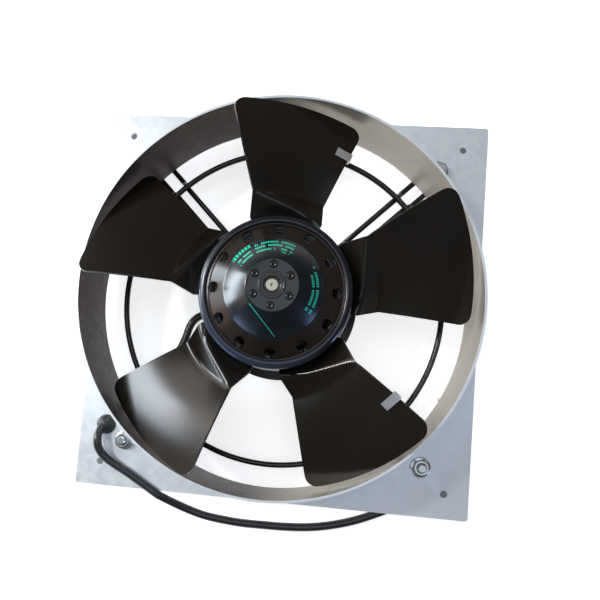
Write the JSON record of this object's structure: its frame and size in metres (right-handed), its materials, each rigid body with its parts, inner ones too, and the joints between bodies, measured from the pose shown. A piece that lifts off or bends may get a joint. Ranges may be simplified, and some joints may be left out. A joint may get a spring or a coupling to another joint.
{
  "type": "axial fan",
  "caption": "Axial fan with pressed blades on an external-rotor motor, held by wire arms behind a square wall plate with a deep ring nozzle, with a free supply lead.",
  "frame": {"origin": "on the fan's axis, at the level of the arm bolts' heads that the fan rests on when it lies on its back", "axes": "+Z along the fan's axis from the wall plate's back towards the nozzle's rim and rotor, +X and +Y along the plate's sides"},
  "size_m": [0.28, 0.3014, 0.0917],
  "materials": {
    "galvanised_sheet": "galvanised sheet, satin",
    "coated_wire": "gloss black coating",
    "zinc_steel": "bright zinc plated",
    "black_casting": "black coated casting",
    "lamination": "stacked electrical sheet",
    "ivory_nylon": "moulded nylon",
    "copper_wire": "enamelled copper wire",
    "black_plastic": "moulded black plastic",
    "bearing_steel": "ground and polished",
    "black_rubber": "moulded rubber",
    "lead_sheath": "smooth PVC sheath",
    "core_sleeve": "smooth PVC insulation",
    "tinned_copper": "tinned, crimped",
    "black_paint": "semi-gloss black coating",
    "shaft_steel": "ground steel",
    "cast_aluminium": "die cast",
    "clip_steel": "spring steel",
    "cage_brass": "pressed brass"
  },
  "bodies": {
    "frame": {"nozzle_plate": "galvanised_sheet", "support_arms": "coated_wire", "support_ring": "coated_wire", "arm_bolts": "zinc_steel", "arm_washers": "zinc_steel", "arm_nuts": "zinc_steel", "stator_flange": "black_casting", "motor_screws": "zinc_steel", "motor_screw_washers": "zinc_steel", "stator_core": "lamination", "slot_insulators": "ivory_nylon", "stator_windings": "copper_wire", "thermal_cutout": "black_plastic", "bearing_cap": "black_plastic", "preload_washer": "bearing_steel", "rear_outer_race": "bearing_steel", "front_outer_race": "bearing_steel", "lead_gland": "black_rubber", "motor_lead": "lead_sheath", "cable_grommet": "black_rubber", "supply_lead": "lead_sheath", "lead_cores": "core_sleeve", "core_ferrules": "tinned_copper"},
    "impeller": {"rotor_can": "black_paint", "hub_bush": "black_paint", "hub_rivets": "black_paint", "rotor_shaft": "shaft_steel", "retaining_ring": "bearing_steel", "rotor_core": "lamination", "rotor_cage": "cast_aluminium", "rear_inner_race": "bearing_steel", "front_inner_race": "bearing_steel", "blade_1": "black_paint", "blade_2": "black_paint", "blade_3": "black_paint", "blade_4": "black_paint", "blade_5": "black_paint", "balance_clips": "clip_steel"},
    "rear_ball_set": {"rear_bearing_balls": "bearing_steel", "rear_bearing_cage": "cage_brass"},
    "front_ball_set": {"front_bearing_balls": "bearing_steel", "front_bearing_cage": "cage_brass"}
  },
  "joints": [
    {"name": "rotor_spin", "type": "hinge", "parent": "frame", "child": "impeller", "pos_m": [0, 0, 0.06], "axis": [0, 0, 1], "continuous": true},
    {"name": "rear_cage_spin", "type": "hinge", "parent": "frame", "child": "rear_ball_set", "pos_m": [0, 0, 0.0246], "axis": [0, 0, 1], "continuous": true},
    {"name": "front_cage_spin", "type": "hinge", "parent": "frame", "child": "front_ball_set", "pos_m": [0, 0, 0.0666], "axis": [0, 0, 1], "continuous": true}
  ],
  "couplings": [
    {"joint": "rear_cage_spin", "follows": "rotor_spin", "ratio": 0.37},
    {"joint": "front_cage_spin", "follows": "rotor_spin", "ratio": 0.37}
  ]
}
